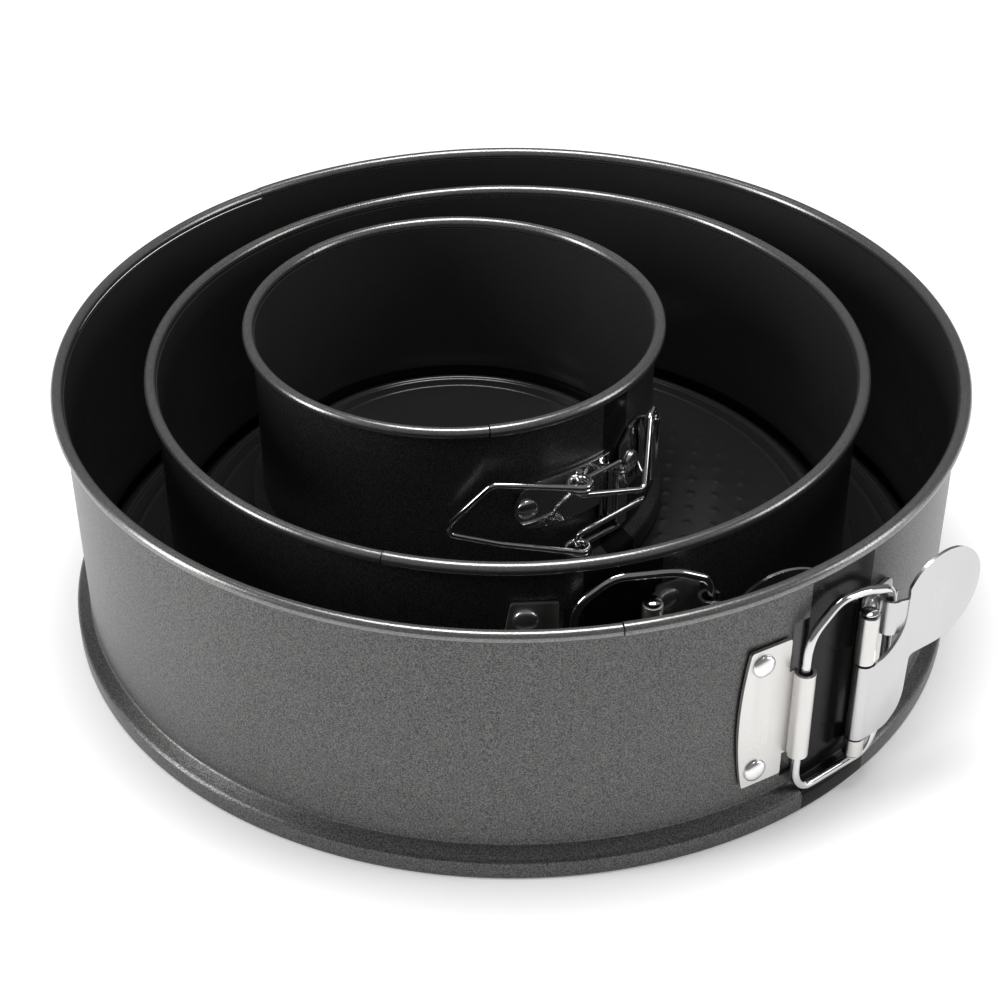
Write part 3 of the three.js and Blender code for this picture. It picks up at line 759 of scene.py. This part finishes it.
def hook_bracket():
    outline = [(52, HOOK_LOW), (63.5, HOOK_LOW), (63.5, HOOK_HIGH), (58, HOOK_HIGH), (52, 36)]
    scale = math.radians(SMALL.wall)
    smooth = rounded([(a * scale, v) for a, v in outline], 1.5, 4)
    shape = Shape().add(*curved_plate([(p.x / scale, p.y) for p in smooth]))
    shape.add(*small_eye(HOOK_ANGLE, HOOK_OUT, 1.4, HOOK_LOW, HOOK_HIGH, 60.5))
    shape.build("small_hook", SMALL.moving, "latch_chrome", [CHROME], ["small_hook_bracket"], bevel=0.15)
    rivet(SMALL, "small_hook_rivet_head", "small_hook_rivet", SMALL.moving, 57.6, 0, RIVET_Z)


def coil(z, rise, start, turns):
    """A turn and a bit of wire round the link's pin."""
    centre = SMALL.round(EYE_ANGLE, EYE_STAND, z)
    count = int(turns * 18)
    points = []
    for i in range(count + 1):
        turn = math.radians(start - 20 * i)
        offset = Vector((math.cos(turn), math.sin(turn), 0)) * EYE_RADIUS
        points.append(centre + offset + Vector((0, 0, rise * (i / count - 0.5))))
    return points


def handle():
    """The handle: one wire, from its pivot through an eye, round the grip, and back."""
    pivot = [PIVOT_ANGLE, PIVOT_OUT]
    top = [SMALL.round(*pivot, 27), SMALL.round(*pivot, 35.2)]
    bottom = [SMALL.round(*pivot, 14.5), SMALL.round(*pivot, 21.5)]
    grip = [SMALL.round(10.4, 4.8, 41.6), SMALL.round(-0.6, 4.5, 29.6),
            SMALL.round(-0.4, 4.5, 26.6), SMALL.round(12.3, 4.8, 22.8)]
    upper, lower = (coil(z, 1.7, 70, 1.4) for z in (EYE_HIGH, EYE_LOW))
    path = [*rounded([*top, upper[0]], 1.2, 4, closed=False), *upper[1:]]
    path += rounded([upper[-1], *grip, lower[-1]], 1.6, 5, closed=False)[1:]
    path += [*lower[-2::-1], *rounded([lower[0], *bottom], 1.2, 4, closed=False)[1:]]
    Shape().add(*wire(path, WIRE)).build("small_handle_wire", "small_handle", "latch_chrome",
                                         [CHROME], ["small_handle"])


def link():
    """The link: one wire through the hook's eye, bowed out, its ends in the handle's eyes."""
    pin = [EYE_ANGLE, EYE_STAND]
    hook = [HOOK_ANGLE, HOOK_OUT]
    corners = [SMALL.round(*pin, EYE_HIGH + 3.6), SMALL.round(*pin, EYE_HIGH - 3.4),
               SMALL.round(48.5, 12.2, 30.3), SMALL.round(60.5, 4.9, HOOK_HIGH + 3),
               SMALL.round(*hook, HOOK_HIGH + 3), SMALL.round(*hook, HOOK_LOW - 2),
               SMALL.round(48.2, 12.2, 27.3), SMALL.round(*pin, EYE_LOW + 4.5),
               SMALL.round(*pin, EYE_LOW - 2.8)]
    path = rounded(corners, 1.7, 5, closed=False)
    shape = Shape().add(*wire(path, WIRE))
    for z in (EYE_HIGH + 3.6, EYE_LOW - 2.8):
        knob = lathe([(0, -0.6), (0.9, -0.6), (1.15, -0.2), (1.15, 0.2), (0.9, 0.6), (0, 0.6)], 20)
        centre = SMALL.round(*pin, z)
        shape.add([centre + Vector(p) for p in knob[0]], knob[1])
    shape.build("small_link_wire", "small_link", "latch_chrome", [CHROME], ["small_link"])


# ---- camera, floor and light ------------------------------------------------------------------------
def add_camera():
    camera = bpy.data.objects.new("camera", bpy.data.cameras.new("camera"))
    camera.location = (0, -0.4522, 0.3475)
    camera.rotation_euler = (math.radians(54.365), 0, 0)
    camera.data.lens = 73.2
    camera.data.sensor_width = 36
    camera.data.shift_x = -0.011
    bpy.context.scene.collection.objects.link(camera)
    bpy.context.scene.camera = camera


def add_floor():
    size = 6
    mesh = bpy.data.meshes.new("floor")
    mesh.from_pydata([(-size, -size, 0), (size, -size, 0), (size, size, 0), (-size, size, 0)], [],
                     [[0, 1, 2, 3]])
    floor = bpy.data.objects.new("floor", mesh)
    material, tree, shader, place = new_material("floor_white")
    shade = ramp(tree, noise(tree, place, 8, 2.0), 0.9, 0.92)
    tree.links.new(tinted(tree, shade, (1, 1, 1)), shader.inputs["Base Color"])
    shader.inputs["Roughness"].default_value = 0.6
    shader.inputs["Emission Color"].default_value = (1, 1, 1, 1)
    shader.inputs["Emission Strength"].default_value = 0.2
    mesh.materials.append(material)
    bpy.context.scene.collection.objects.link(floor)


def add_light(name, spot, target, size, power):
    data = bpy.data.lights.new(name, "AREA")
    data.shape = "RECTANGLE"
    data.size, data.size_y = size
    data.energy = power
    light = bpy.data.objects.new(name, data)
    light.location = spot
    aim = Vector(target) - Vector(spot)
    light.rotation_euler = aim.to_track_quat("-Z", "Y").to_euler()
    bpy.context.scene.collection.objects.link(light)


def add_lights():
    world = bpy.data.worlds.new("studio")
    world.use_nodes = True
    world.node_tree.nodes["Background"].inputs["Color"].default_value = (1, 1, 1, 1)
    world.node_tree.nodes["Background"].inputs["Strength"].default_value = 0.2
    bpy.context.scene.world = world
    add_light("overhead", (0, 0.1, 1.3), (0, 0, 0), (0.7, 0.55), 15.5)
    add_light("left", (-1.2, -0.25, 0.45), (0, 0, 0.03), (0.35, 0.9), 10)
    add_light("right", (1.3, -0.1, 0.5), (0, 0, 0.03), (0.4, 0.8), 5)
    bpy.context.scene.view_settings.view_transform = "Standard"


# ---- the whole set --------------------------------------------------------------------------------
add_camera()
add_floor()
add_lights()
for pan in (LARGE, MID, SMALL):
    band(pan)
for pan in (LARGE, MID, SMALL):
    base_plate(pan, bumps=pan is MID)
for pan in (LARGE, MID):
    sheet_latch(pan)
strap_bracket()
hook_bracket()
handle()
link()
